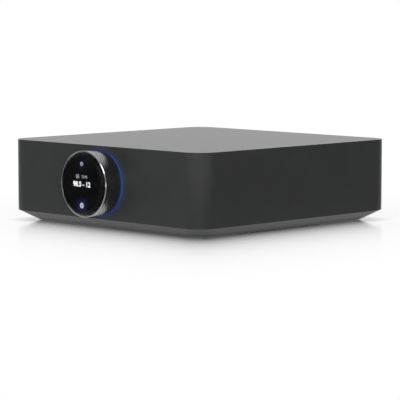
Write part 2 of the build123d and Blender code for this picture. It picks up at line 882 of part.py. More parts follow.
# Optical socket: a block with a square mouth, closed by a flap that swings in and up
shutter_y = socket_face - shutter_recess - shutter_thickness / 2
mouth_middle = socket_level + optical_rise
mouth_top = mouth_middle + optical_mouth / 2
shutter_axis_height = mouth_top + shutter_pocket / 2
shutter_middle = (-optical_place, shutter_y, panel_middle + shutter_axis_height)
shutter_section = Plane(origin=shutter_middle, x_dir=(0, 1, 0), z_dir=(1, 0, 0))
with BuildPart() as optical_socket:
    with BuildSketch(rear_plane(socket_face)):
        with Locations((optical_place, socket_level)):
            Rectangle(optical_size[0], optical_size[1], align=(Align.CENTER, Align.MIN))
    extrude(amount=-optical_size[2])
    with BuildSketch(rear_plane(socket_face)):
        with Locations((optical_place, mouth_middle)):
            Rectangle(optical_mouth, optical_mouth)
    extrude(amount=-optical_depth, mode=Mode.SUBTRACT)
    with BuildSketch(rear_plane(socket_face - shutter_recess + moving_gap)):
        with Locations((optical_place, mouth_top)):
            Rectangle(optical_mouth, shutter_pocket, align=(Align.CENTER, Align.MIN))
    extrude(amount=-(optical_depth - shutter_recess + moving_gap), mode=Mode.SUBTRACT)
    with BuildSketch(rear_plane(socket_face - optical_depth)):
        with Locations((optical_place, mouth_middle)):
            Circle(optical_well_radius)
    extrude(amount=-(optical_size[2] - optical_depth) / 2, mode=Mode.SUBTRACT)
    with BuildSketch(shutter_section):
        Circle(shutter_pin_radius + running_gap)
    extrude(amount=optical_mouth / 2 + shutter_pin_length + moving_gap, both=True, mode=Mode.SUBTRACT)
finish(optical_socket, "optical_socket")

with BuildPart() as optical_shutter:
    with BuildSketch(shutter_section):
        Rectangle(
            shutter_thickness,
            optical_mouth + shutter_pocket / 2 - moving_gap,
            align=(Align.CENTER, Align.MAX),
        )
        Circle(shutter_pin_radius)
    extrude(amount=optical_mouth / 2 - moving_gap, both=True)
    with BuildSketch(shutter_section):
        Circle(shutter_pin_radius)
    extrude(amount=optical_mouth / 2 + shutter_pin_length, both=True)
finish(optical_shutter, "optical_shutter")

# Phono sockets: one moulded block with three shells and their centre contacts
phono_centres = [(place, socket_level + phono_rise) for place in phono_places]
phono_face = recess_floor + phono_seat / 2
with BuildPart() as phono_block:
    with BuildSketch(rear_plane(panel_inner - board_gap)):
        with Locations(((phono_places[0] + phono_places[-1]) / 2, socket_level)):
            Rectangle(
                phono_places[-1] - phono_places[0] + 2 * phono_margin,
                phono_block_height,
                align=(Align.CENTER, Align.MIN),
            )
    extrude(amount=-phono_block_depth)
    with BuildSketch(rear_plane(panel_inner - board_gap)):
        with Locations(*phono_centres):
            Circle(phono_collar)
    extrude(amount=phono_face - panel_inner + board_gap)
    with BuildSketch(rear_plane(phono_face)):
        with Locations(*phono_centres):
            Circle(phono_neck_radius + snug_gap)
    extrude(amount=-phono_seat, mode=Mode.SUBTRACT)
    with BuildSketch(rear_plane(phono_face - phono_seat)):
        with Locations(*phono_centres):
            Circle(phono_radius - phono_wall - snug_gap)
    extrude(amount=phono_seat + phono_reach - phono_sink)
    with BuildSketch(rear_plane(phono_face + phono_reach - phono_sink)):
        with Locations(*phono_centres):
            Circle(phono_contact_radius + snug_gap)
    extrude(amount=-phono_hole_depth - phono_wall, mode=Mode.SUBTRACT)
finish(phono_block, "phono_block")

with BuildPart() as phono_shells:
    with BuildSketch(rear_plane(phono_face - phono_seat)):
        with Locations(*phono_centres):
            Circle(phono_neck_radius)
    extrude(amount=phono_seat + phono_neck_show)
    with BuildSketch(rear_plane(phono_face + phono_neck_show)):
        with Locations(*phono_centres):
            Circle(phono_radius)
    extrude(amount=phono_reach - phono_neck_show)
    with BuildSketch(rear_plane(phono_face - phono_seat)):
        with Locations(*phono_centres):
            Circle(phono_radius - phono_wall)
    extrude(amount=phono_seat + phono_reach, mode=Mode.SUBTRACT)
finish(phono_shells, "phono_shells")

with BuildPart() as phono_contacts:
    with BuildSketch(rear_plane(phono_face + phono_reach - phono_sink)):
        with Locations(*phono_centres):
            Circle(phono_contact_radius)
    extrude(amount=-phono_hole_depth - phono_wall)
    with BuildSketch(rear_plane(phono_face + phono_reach - phono_sink)):
        with Locations(*phono_centres):
            Circle(phono_hole_radius)
    extrude(amount=-phono_hole_depth, mode=Mode.SUBTRACT)
finish(phono_contacts, "phono_contacts")

# Binding posts: an insulating block, four hollow studs with nuts, washers and screw caps
with BuildPart() as post_block:
    with BuildSketch(rear_plane(recess_floor)):
        with Locations((post_middle, 0)):
            RectangleRounded(
                post_across + 2 * post_block_margin,
                post_up + 2 * post_block_margin - 2 * fixed_gap,
                post_block_corner,
            )
    extrude(amount=post_block_thickness)
    with BuildSketch(rear_plane(recess_floor)):
        with Locations((post_middle, 0)):
            Rectangle(*post_window)
    extrude(amount=-recess_wall)
    with BuildSketch(rear_plane(panel_inner)):
        with Locations(*post_places):
            Circle(stud_radius + snug_gap)
    extrude(amount=recess_wall + post_block_thickness, mode=Mode.SUBTRACT)
finish(post_block, "post_block")

stud_end = recess_floor + stud_length
with BuildPart() as post_studs:
    with BuildSketch(rear_plane(panel_inner - stud_tail)):
        with Locations(*post_places):
            Circle(stud_radius)
    extrude(amount=stud_tail + recess_wall + stud_length)
    with BuildSketch(rear_plane(stud_end)):
        with Locations(*post_places):
            Circle(stud_bore_radius)
    extrude(amount=-stud_bore_depth, mode=Mode.SUBTRACT)
finish(post_studs, "post_studs")

with BuildPart() as post_nuts:
    with BuildSketch(rear_plane(panel_inner)):
        with Locations(*post_places):
            RegularPolygon(nut_across / 2, 6, major_radius=False)
            Circle(stud_radius + snug_gap, mode=Mode.SUBTRACT)
    extrude(amount=-nut_thickness)
finish(post_nuts, "post_nuts")

washer_face = recess_floor + post_block_thickness + touch_gap
cap_face = washer_face + washer_thickness + touch_gap
post_names = ("left_lower", "left_upper", "right_lower", "right_upper")
for post_name, place in zip(post_names, post_places):
    with BuildPart() as post_washer:
        with BuildSketch(rear_plane(washer_face)):
            with Locations(place):
                Circle(washer_radius)
                Circle(stud_radius + running_gap, mode=Mode.SUBTRACT)
        extrude(amount=washer_thickness)
    finish(post_washer, f"post_washer_{post_name}")
    with BuildPart() as post_cap:
        with BuildSketch(rear_plane(cap_face)):
            with Locations(place):
                Circle(cap_radius)
        extrude(amount=half_depth - cap_face)
        chamfer(post_cap.faces().sort_by(Axis.Y)[-1].edges(), cap_chamfer)
        with BuildSketch(rear_plane(cap_face)):
            with Locations(place):
                Circle(stud_radius + running_gap)
                with PolarLocations(cap_radius, flute_count):
                    Circle(flute_radius)
        extrude(amount=half_depth - cap_face, mode=Mode.SUBTRACT)
    finish(post_cap, f"post_cap_{post_name}")

# Reset button: a flanged plunger that runs in the panel and presses a switch
reset_centre = (reset_place, socket_level + reset_rise)
reset_flange_face = panel_inner - moving_gap
with BuildPart() as reset_button:
    with BuildSketch(rear_plane(reset_flange_face)):
        with Locations(reset_centre):
            Circle(reset_radius)
    extrude(amount=moving_gap + recess_wall + reset_proud)
    fillet(reset_button.faces().sort_by(Axis.Y)[-1].edges(), fixed_gap)
    with BuildSketch(rear_plane(reset_flange_face)):
        with Locations(reset_centre):
            Circle(reset_flange_radius)
    extrude(amount=-reset_flange)
    with BuildSketch(rear_plane(reset_flange_face - reset_flange)):
        with Locations(reset_centre):
            Circle(reset_stem_radius)
    extrude(amount=-reset_stem)
finish(reset_button, "reset_button")

switch_face = reset_flange_face - reset_flange - reset_stem - reset_travel - touch_gap
with BuildPart() as reset_switch:
    with BuildSketch(rear_plane(switch_face)):
        with Locations((reset_place, socket_level)):
            Rectangle(reset_switch_size[0], reset_switch_size[0], align=(Align.CENTER, Align.MIN))
    extrude(amount=-reset_switch_size[1])
finish(reset_switch, "reset_switch")

# Boards
board_list = (
    ("main_board", main_board_size, main_board_middle, main_board_top, main_screws),
    ("power_board", power_board_size, power_board_middle, side_board_top, side_screws),
    ("amplifier_board", amplifier_board_size, amplifier_board_middle, side_board_top, side_screws),
)
for board_name, size, middle, top, screws in board_list:
    with BuildPart() as board:
        with BuildSketch(level(top)):
            with Locations(middle):
                Rectangle(*size)
            with Locations(*screws):
                Circle(board_screw[0] + fixed_gap, mode=Mode.SUBTRACT)
        extrude(amount=-board_thickness)
        if board_name == "main_board":
            with BuildSketch(level(top)):
                with Locations((0, ribbon_end)):
                    Rectangle(ribbon_socket[0], ribbon_socket[1], align=(Align.CENTER, Align.MIN))
            extrude(amount=ribbon_socket[2])
    finish(board, board_name)

# What stands on the boards, from their rear ends forwards
amplifier_x = amplifier_board_middle[0]
power_x = power_board_middle[0]
terminal_y = side_board_end - terminal_inset - terminal_size[1] / 2
supply_terminal_x = power_board_inner + terminal_size[0] / 2
mains_choke_y = terminal_y - (terminal_size[1] + mains_choke_size[1]) / 2 - part_gap
winding_depth = transformer_size[1] + transformer_leg
transformer_window = (
    transformer_size[0] - transformer_leg,
    transformer_size[2] - 2 * transformer_core_height,
)
transformer_y = mains_choke_y - (mains_choke_size[1] + winding_depth) / 2 - part_gap
capacitor_y = transformer_y - winding_depth / 2 - part_gap - capacitor_spacing / 2 - capacitor_radius
choke_y = side_board_end - choke_end_gap
fin_spacing = (heat_sink_size[0] - heat_sink_fin) / (heat_sink_fins - 1)
heat_sink_y = heat_sink_end_gap + heat_sink_size[1] / 2 - side_board_end
with BuildPart() as amplifier_chips:
    with BuildSketch(level(side_board_top)):
        with Locations((amplifier_x, heat_sink_y)):
            with GridLocations(0, amplifier_chip_spacing, 1, 2):
                Rectangle(amplifier_chip[0], amplifier_chip[1])
    extrude(amount=amplifier_chip[2])
finish(amplifier_chips, "amplifier_chips")

with BuildPart() as heat_sink:
    sink_floor = side_board_top + amplifier_chip[2]
    with BuildSketch(level(sink_floor)):
        with Locations((amplifier_x, heat_sink_y)):
            Rectangle(heat_sink_size[0], heat_sink_size[1])
    extrude(amount=heat_sink_floor)
    with BuildSketch(level(sink_floor + heat_sink_floor)):
        with Locations((amplifier_x, heat_sink_y)):
            with GridLocations(fin_spacing, 0, heat_sink_fins, 1):
                Rectangle(heat_sink_fin, heat_sink_size[1])
    extrude(amount=heat_sink_size[2] - heat_sink_floor)
finish(heat_sink, "heat_sink")

with BuildPart() as output_chokes:
    with BuildSketch(level(side_board_top)):
        with Locations((amplifier_x, choke_y)):
            with GridLocations(choke_spacing, choke_spacing, 2, 2):
                Circle(choke_radius)
                Circle(choke_hole, mode=Mode.SUBTRACT)
    extrude(amount=choke_height)
finish(output_chokes, "output_chokes")

with BuildPart() as processor:
    with BuildSketch(level(main_board_top)):
        with Locations(processor_place):
            Rectangle(processor_size[0], processor_size[1])
    extrude(amount=processor_size[2])
finish(processor, "processor")

with BuildPart() as wireless_module:
    with BuildSketch(level(main_board_top)):
        with Locations(wireless_place):
            Rectangle(wireless_size[0], wireless_size[1])
    extrude(amount=wireless_size[2])
finish(wireless_module, "wireless_module")

with BuildPart() as reservoir_capacitors:
    with BuildSketch(level(side_board_top)):
        with Locations((power_x, capacitor_y)):
            with GridLocations(capacitor_spacing, capacitor_spacing, 2, 2):
                Circle(capacitor_radius)
    extrude(amount=capacitor_height)
finish(reservoir_capacitors, "reservoir_capacitors")

with BuildPart() as transformer_core:
    with BuildSketch(level(side_board_top)):
        with Locations((power_x, transformer_y)):
            Rectangle(transformer_size[0], transformer_size[1])
    extrude(amount=transformer_size[2])
    with BuildSketch(Plane.XZ.offset(-transformer_y)):
        with Locations((power_x, side_board_top + transformer_size[2] / 2)):
            Rectangle(transformer_window[0], transformer_window[1])
            Rectangle(transformer_leg, transformer_size[2], mode=Mode.SUBTRACT)
    extrude(amount=transformer_size[1], both=True, mode=Mode.SUBTRACT)
finish(transformer_core, "transformer_core")

with BuildPart() as transformer_winding:
    winding_half = transformer_size[2] / 2 - transformer_core_height - fixed_gap
    with BuildSketch(level(side_board_top + transformer_size[2] / 2)):
        with Locations((power_x, transformer_y)):
            RectangleRounded(
                transformer_size[0] - transformer_leg - 2 * fixed_gap,
                winding_depth,
                transformer_leg / 2,
            )
            Rectangle(
                transformer_leg + 2 * fixed_gap, transformer_size[1] + 2 * fixed_gap, mode=Mode.SUBTRACT
            )
    extrude(amount=winding_half, both=True)
finish(transformer_winding, "transformer_winding")

with BuildPart() as mains_choke:
    with BuildSketch(level(side_board_top)):
        with Locations((power_x, mains_choke_y)):
            RectangleRounded(mains_choke_size[0], mains_choke_size[1], post_block_corner)
    extrude(amount=mains_choke_size[2])
finish(mains_choke, "mains_choke")

with BuildPart() as board_terminals:
    with BuildSketch(level(side_board_top)):
        with Locations((supply_terminal_x, terminal_y), (amplifier_x, terminal_y)):
            Rectangle(terminal_size[0], terminal_size[1])
    extrude(amount=terminal_size[2])
finish(board_terminals, "board_terminals")

# Screws
with BuildPart() as base_screws:
    head_seat = base_floor + base_screw_sink + base_screw[2]
    with BuildSketch(level(head_seat)):
        with Locations(*screw_places):
            Circle(base_screw[1])
    extrude(amount=-base_screw[2])
    with BuildSketch(level(head_seat)):
        with Locations(*screw_places):
            Circle(base_screw[0])
    extrude(amount=boss_meet + base_screw_grip - head_seat)
    with BuildSketch(level(head_seat - base_screw[2])):
        with Locations(*screw_places):
            RegularPolygon(drive_radius, 6)
    extrude(amount=drive_depth, mode=Mode.SUBTRACT)
finish(base_screws, "base_screws")

with BuildPart() as hub_screws:
    with BuildSketch(front_plane(hub_back)):
        with Locations(*ear_places):
            Circle(hub_screw[1])
    extrude(amount=-hub_screw[2])
    with BuildSketch(front_plane(hub_back)):
        with Locations(*ear_places):
            Circle(hub_screw[0])
    extrude(amount=hub_plate + hub_screw_grip)
finish(hub_screws, "hub_screws")

with BuildPart() as panel_screws:
    with BuildSketch(rear_plane(half_depth)):
        with Locations(*panel_screw_places):
            Circle(panel_screw[1])
    extrude(amount=panel_screw[0] - panel_screw[1], taper=45)
    with BuildSketch(rear_plane(half_depth)):
        with Locations(*panel_screw_places):
            Circle(panel_screw[0])
    extrude(amount=-panel_flange - panel_screw_grip + screw_end_gap)
    with BuildSketch(rear_plane(half_depth)):
        with Locations(*panel_screw_places):
            RegularPolygon(drive_radius, 6)
    extrude(amount=-drive_depth, mode=Mode.SUBTRACT)
finish(panel_screws, "panel_screws")

with BuildPart() as board_screws:
    for top, places in ((main_board_top, main_screws), (side_board_top, side_screws)):
        with BuildSketch(level(top)):
            with Locations(*places):
                Circle(board_screw[1])
        extrude(amount=board_screw[2])
        with BuildSketch(level(top)):
            with Locations(*places):
                Circle(board_screw[0])
        extrude(amount=-board_thickness - board_screw_grip)
finish(board_screws, "board_screws")


# Leads: inlet to power board, power board to amplifier board, amplifier board to posts
inlet_tab_y = inlet_face - inlet_flange[2] - inlet_body[2] - inlet_tab
stud_tail_y = panel_inner - stud_tail
terminal_back = terminal_y + terminal_size[1] / 2
terminal_middle = side_board_top + terminal_size[2] / 2
lead_routes = []
for x, z in pin_places:
    terminal_x = supply_terminal_x + inlet_place[0] - x
    lead_routes.append(
        (
            (-x, inlet_tab_y, panel_middle + z),
            (terminal_x, terminal_y, panel_middle + z),
            (terminal_x, terminal_y, side_board_top + terminal_size[2]),
        )
    )
for order, (x, z) in enumerate(post_places):
    pin_x = amplifier_x + (len(post_places) - 1 - 2 * order) / 2 * lead_spacing
    lead_routes.append(
        (
            (-x, stud_tail_y, panel_middle + z),
            (-x, stud_tail_y - lead_run, panel_middle + z),
            (pin_x, terminal_back + lead_run, terminal_middle),
            (pin_x, terminal_back, terminal_middle),
        )
    )
for order in range(supply_lead_count):
    supply_y = supply_lead_place + (order - (supply_lead_count - 1) / 2) * supply_lead_spacing
    supply_top = side_board_top + supply_lead_rise
    lead_routes.append(
        (
            (power_board_inner + supply_lead_inset, supply_y, side_board_top),
            (power_board_inner + supply_lead_inset, supply_y, supply_top),
            (-amplifier_board_inner - supply_lead_inset, supply_y, supply_top),
            (-amplifier_board_inner - supply_lead_inset, supply_y, side_board_top),
        )
    )

with BuildPart() as internal_leads:
    for points in lead_routes:
        with BuildLine() as route:
            FilletPolyline(*points, radius=lead_bend)
        with BuildSketch(Plane(route.line @ 0, z_dir=route.line % 0)):
            Circle(lead_radius)
        sweep(path=route.line)
finish(internal_leads, "internal_leads")
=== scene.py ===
"""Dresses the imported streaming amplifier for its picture: paint, metal, glass, screen, light."""

import json
from math import atan2, copysign, cos, hypot, radians, sin, tau

import bmesh
import bpy
from mathutils import Matrix, Vector


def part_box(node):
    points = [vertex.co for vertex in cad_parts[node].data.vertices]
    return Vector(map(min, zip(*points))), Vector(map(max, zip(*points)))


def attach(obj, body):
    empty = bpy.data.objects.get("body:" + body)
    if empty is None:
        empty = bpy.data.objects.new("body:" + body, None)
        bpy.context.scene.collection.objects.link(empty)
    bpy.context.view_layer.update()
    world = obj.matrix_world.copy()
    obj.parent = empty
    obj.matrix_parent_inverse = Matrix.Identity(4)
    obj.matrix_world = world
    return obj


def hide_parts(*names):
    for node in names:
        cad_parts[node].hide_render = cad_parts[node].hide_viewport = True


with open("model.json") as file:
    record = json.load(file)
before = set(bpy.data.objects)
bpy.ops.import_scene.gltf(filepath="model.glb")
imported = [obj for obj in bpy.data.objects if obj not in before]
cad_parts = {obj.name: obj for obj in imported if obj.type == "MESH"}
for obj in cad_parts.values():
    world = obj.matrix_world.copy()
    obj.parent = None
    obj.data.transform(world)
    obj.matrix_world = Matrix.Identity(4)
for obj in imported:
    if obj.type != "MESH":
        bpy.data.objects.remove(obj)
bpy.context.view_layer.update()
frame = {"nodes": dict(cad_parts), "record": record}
nodes = frame["nodes"]
scene = bpy.context.scene
MM = 0.001

# Places read from the solids
dial_low, dial_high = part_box("dial_ring")
glass_low, glass_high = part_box("cover_glass")
panel_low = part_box("display_panel")[0]
body_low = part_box("housing")[0]
DIAL_Z = (dial_low.z + dial_high.z) / 2
FACE_Y = body_low.y
DIAL_FRONT = dial_low.y
DIAL_REAR = dial_high.y
DIAL_RADIUS = (dial_high.z - dial_low.z) / 2
GLASS_RADIUS = (glass_high.z - glass_low.z) / 2

# Screen picture: its middle, and its two symbols' heights above the dial's middle
SCREEN_X = -1.95 * MM
UPPER_SYMBOL = 15.9 * MM
LOWER_SYMBOL = -16.9 * MM

# The display's face, and the colour and reach of the tint round each symbol
SCREEN_DARK = (0.001, 0.001, 0.0011)
UPPER_TINT = ((0.006, 0.006, 0.017), 9 * MM)
LOWER_TINT = ((0.014, 0.018, 0.075), 8 * MM)

# Self-lit figures: how much their brightness wavers, and how much of their colour is paint
GLOW_WAVER = 0.04
GLOW_PAINT = 0.4

# Cover glass: it doesn't bend light, and its gloss is in a coat. Roughness under about 0.28
# makes the denoised picture speckle.
GLASS_TINT = (0.86, 0.88, 0.9)
GLASS_IOR = 1.0
GLASS_ROUGHNESS = (0.29, 0.34)
GLASS_COAT_ROUGHNESS = 0.2
GLASS_FRONT_COAT_IOR = 1.1
GLASS_EDGE_COAT_IOR = 1.17

# Painted glow of the light ring on the cabinet's face round the dial: where it starts and ends, its
# colour, and how fast it fades behind the face
HALO_REACH = (26 * MM, 32.5 * MM)
HALO_COLOUR = (0.001, 0.010, 0.042)
HALO_DEPTH_SCALE = 12
HALO_POWER = 2

# Light ring: blue at one height and violet away from it, and where the one turns into the other
RING_BLUE = (0.016, 0.055, 0.17)
RING_VIOLET = (0.024, 0.024, 0.11)
RING_MIDDLE = 3 * MM
RING_FADE = (10 * MM, 22 * MM)


# Materials
def adder(tree):
    """A function that adds a node to a tree and sets the node's properties."""

    def add(kind, **values):
        node = tree.nodes.new(kind)
        for key, value in values.items():
            setattr(node, key, value)
        return node

    return add


def material(name):
    """A new material, with its node tree, its Principled shader and a function that adds a node."""
    made = bpy.data.materials.new(name)
    made.use_nodes = True
    tree = made.node_tree
    return made, tree, tree.nodes["Principled BSDF"], adder(tree)


def noise(tree, add, scale, detail=3.0, stretch=(1, 1, 1)):
    """Noise over the object's own coordinates, in metres."""
    place = add("ShaderNodeTexCoord")
    mapping = add("ShaderNodeMapping")
    mapping.inputs["Scale"].default_value = stretch
    texture = add("ShaderNodeTexNoise")
    texture.inputs["Scale"].default_value = scale
    texture.inputs["Detail"].default_value = detail
    tree.links.new(place.outputs["Object"], mapping.inputs["Vector"])
    tree.links.new(mapping.outputs["Vector"], texture.inputs["Vector"])
    return texture.outputs["Fac"]


def spread(tree, add, value, low, high, start=0.3, end=0.7):
    """Maps the span from start to end, by default most of a noise's, onto low to high."""
    node = add("ShaderNodeMapRange")
    node.inputs["From Min"].default_value = start
    node.inputs["From Max"].default_value = end
    node.inputs["To Min"].default_value = low
    node.inputs["To Max"].default_value = high
    tree.links.new(value, node.inputs["Value"])
    return node.outputs["Result"]


def tint(tree, add, value, first, second):
    """Blends two colours by a value."""
    node = add("ShaderNodeMix", data_type="RGBA")
    node.inputs["A"].default_value = (*first, 1)
    node.inputs["B"].default_value = (*second, 1)
    tree.links.new(value, node.inputs["Factor"])
    return node.outputs["Result"]


def finish_surface(
    name,
    colour,
    roughness,
    metallic=0.0,
    ior=1.5,
    mottle=0.12,
    mottle_scale=60,
    grain=2500,
    grain_depth=0.01,
    grain_stretch=(1, 1, 1),
):
    """A surface whose colour and roughness drift a little, with a fine grain in its bump.

    The grain's depth is in millimetres.
    """
    made, tree, shader, add = material(name)
    drift = noise(tree, add, mottle_scale)
    share = spread(tree, add, drift, 0, 1)
    dark = [c * (1 - mottle) for c in colour]
    pale = [min(1, c * (1 + mottle)) for c in colour]
    tree.links.new(tint(tree, add, share, dark, pale), shader.inputs["Base Color"])
    fine = noise(tree, add, grain, 2, grain_stretch)
    rough = spread(tree, add, fine, roughness * 0.9, min(1, roughness * 1.1))
    tree.links.new(rough, shader.inputs["Roughness"])
    bump = add("ShaderNodeBump")
    bump.inputs["Strength"].default_value = 1
    bump.inputs["Distance"].default_value = grain_depth * MM
    tree.links.new(fine, bump.inputs["Height"])
    tree.links.new(bump.outputs["Normal"], shader.inputs["Normal"])
    shader.inputs["Metallic"].default_value = metallic
    shader.inputs["IOR"].default_value = ior
    return made


def board_surface():
    """Green solder mask over copper tracks, which show as a faint pattern."""
    made, tree, shader, add = material("circuit_board")
    place = add("ShaderNodeTexCoord")
    tracks = add("ShaderNodeTexBrick")
    tracks.inputs["Scale"].default_value = 220
    tracks.inputs["Mortar Size"].default_value = 0.06
    tracks.inputs["Color1"].default_value = (0.012, 0.1, 0.04, 1)
    tracks.inputs["Color2"].default_value = (0.014, 0.115, 0.045, 1)
    tracks.inputs["Mortar"].default_value = (0.03, 0.2, 0.07, 1)
    tree.links.new(place.outputs["Object"], tracks.inputs["Vector"])
    tree.links.new(tracks.outputs["Color"], shader.inputs["Base Color"])
    bump = add("ShaderNodeBump")
    bump.inputs["Distance"].default_value = 0.03 * MM
    tree.links.new(tracks.outputs["Fac"], bump.inputs["Height"])
    tree.links.new(bump.outputs["Normal"], shader.inputs["Normal"])
    shader.inputs["Roughness"].default_value = 0.3
    return made


def nearness(tree, add, point, reach):
    """1 at a point, falling to 0 at a distance."""
    place = add("ShaderNodeTexCoord")
    apart = add("ShaderNodeVectorMath", operation="DISTANCE")
    apart.inputs[1].default_value = point
    tree.links.new(place.outputs["Object"], apart.inputs[0])
    return spread(tree, add, apart.outputs["Value"], 1, 0, 0, reach)


def screen_surface():
    """The display's dark face, with a faint blue tint round its two symbols."""
    made, tree, shader, add = material("screen")
    lighter = add("ShaderNodeMix", data_type="RGBA", blend_type="LIGHTEN")
    lighter.inputs["Factor"].default_value = 1
    for side, height, (colour, reach) in (
        ("A", UPPER_SYMBOL, UPPER_TINT),
        ("B", LOWER_SYMBOL, LOWER_TINT),
    ):
        near = nearness(tree, add, (SCREEN_X, panel_low.y, DIAL_Z + height), reach)
        tree.links.new(tint(tree, add, near, SCREEN_DARK, colour), lighter.inputs[side])
    tree.links.new(lighter.outputs["Result"], shader.inputs["Emission Color"])
    shader.inputs["Emission Strength"].default_value = 1
    shader.inputs["Base Color"].default_value = (0.002, 0.002, 0.003, 1)
    shader.inputs["Roughness"].default_value = 0.35
    shader.inputs["Specular IOR Level"].default_value = 0
    return made


def glass_surface(name, coat_ior):
    """Clear glass with faint smears, and with its gloss in a soft coat."""
    made, tree, shader, add = material(name)
    shader.inputs["Base Color"].default_value = (*GLASS_TINT, 1)
    shader.inputs["Transmission Weight"].default_value = 1
    shader.inputs["IOR"].default_value = GLASS_IOR
    smears = spread(tree, add, noise(tree, add, 90, 4), *GLASS_ROUGHNESS)
    tree.links.new(smears, shader.inputs["Roughness"])
    shader.inputs["Coat Weight"].default_value = 1
    shader.inputs["Coat Roughness"].default_value = GLASS_COAT_ROUGHNESS
    shader.inputs["Coat IOR"].default_value = coat_ior
    return made


def glowing(name, colour):
    """A self-lit surface whose brightness wavers a little along it."""
    made, tree, shader, add = material(name)
    waver = spread(tree, add, noise(tree, add, 300, 1), 1 - GLOW_WAVER, 1)
    dim = [c * (1 - GLOW_WAVER) for c in colour]
    tree.links.new(tint(tree, add, waver, dim, colour), shader.inputs["Emission Color"])
    shader.inputs["Emission Strength"].default_value = 1
    shader.inputs["Base Color"].default_value = (*[c * GLOW_PAINT for c in colour], 1)
    shader.inputs["Roughness"].default_value = 0.4
    return made


def add_painted_halo(made):
    """The light ring's glow on the cabinet's face round the dial, painted as emission into the
    cabinet's paint.
    """
    tree = made.node_tree
    add = adder(tree)
    place = add("ShaderNodeTexCoord")
    offset = add("ShaderNodeVectorMath", operation="SUBTRACT")
    offset.inputs[1].default_value = (0, FACE_Y, DIAL_Z)
    tree.links.new(place.outputs["Object"], offset.inputs[0])
    squashed = add("ShaderNodeVectorMath", operation="MULTIPLY")
    squashed.inputs[1].default_value = (1, HALO_DEPTH_SCALE, 1)
    tree.links.new(offset.outputs[0], squashed.inputs[0])
    distance = add("ShaderNodeVectorMath", operation="LENGTH")
    tree.links.new(squashed.outputs[0], distance.inputs[0])
    near = spread(tree, add, distance.outputs["Value"], 1, 0, *HALO_REACH)
    weight = add("ShaderNodeMath", operation="POWER")
    weight.inputs[1].default_value = HALO_POWER
    tree.links.new(near, weight.inputs[0])
    glow = tint(tree, add, weight.outputs["Value"], (0, 0, 0), HALO_COLOUR)
    shader = tree.nodes["Principled BSDF"]
    tree.links.new(glow, shader.inputs["Emission Color"])
    shader.inputs["Emission Strength"].default_value = 1


def diffuser_surface():
    """The light ring: blue beside the dial's middle, violet above and below it."""
    made, tree, shader, add = material("light_diffuser")
    place = add("ShaderNodeTexCoord")
    split = add("ShaderNodeSeparateXYZ")
    tree.links.new(place.outputs["Object"], split.inputs["Vector"])
    height = add("ShaderNodeMath", operation="SUBTRACT")
    height.inputs[1].default_value = DIAL_Z + RING_MIDDLE
    tree.links.new(split.outputs["Z"], height.inputs[0])
    off_middle = add("ShaderNodeMath", operation="ABSOLUTE")
    tree.links.new(height.outputs["Value"], off_middle.inputs[0])
    share = spread(tree, add, off_middle.outputs["Value"], 0, 1, *RING_FADE)
    glow = tint(tree, add, share, RING_BLUE, RING_VIOLET)
    tree.links.new(glow, shader.inputs["Emission Color"])
    shader.inputs["Emission Strength"].default_value = 1
    shader.inputs["Base Color"].default_value = (0.01, 0.015, 0.03, 1)
    shader.inputs["Roughness"].default_value = 0.5
    shader.inputs["IOR"].default_value = 1.1
    return made


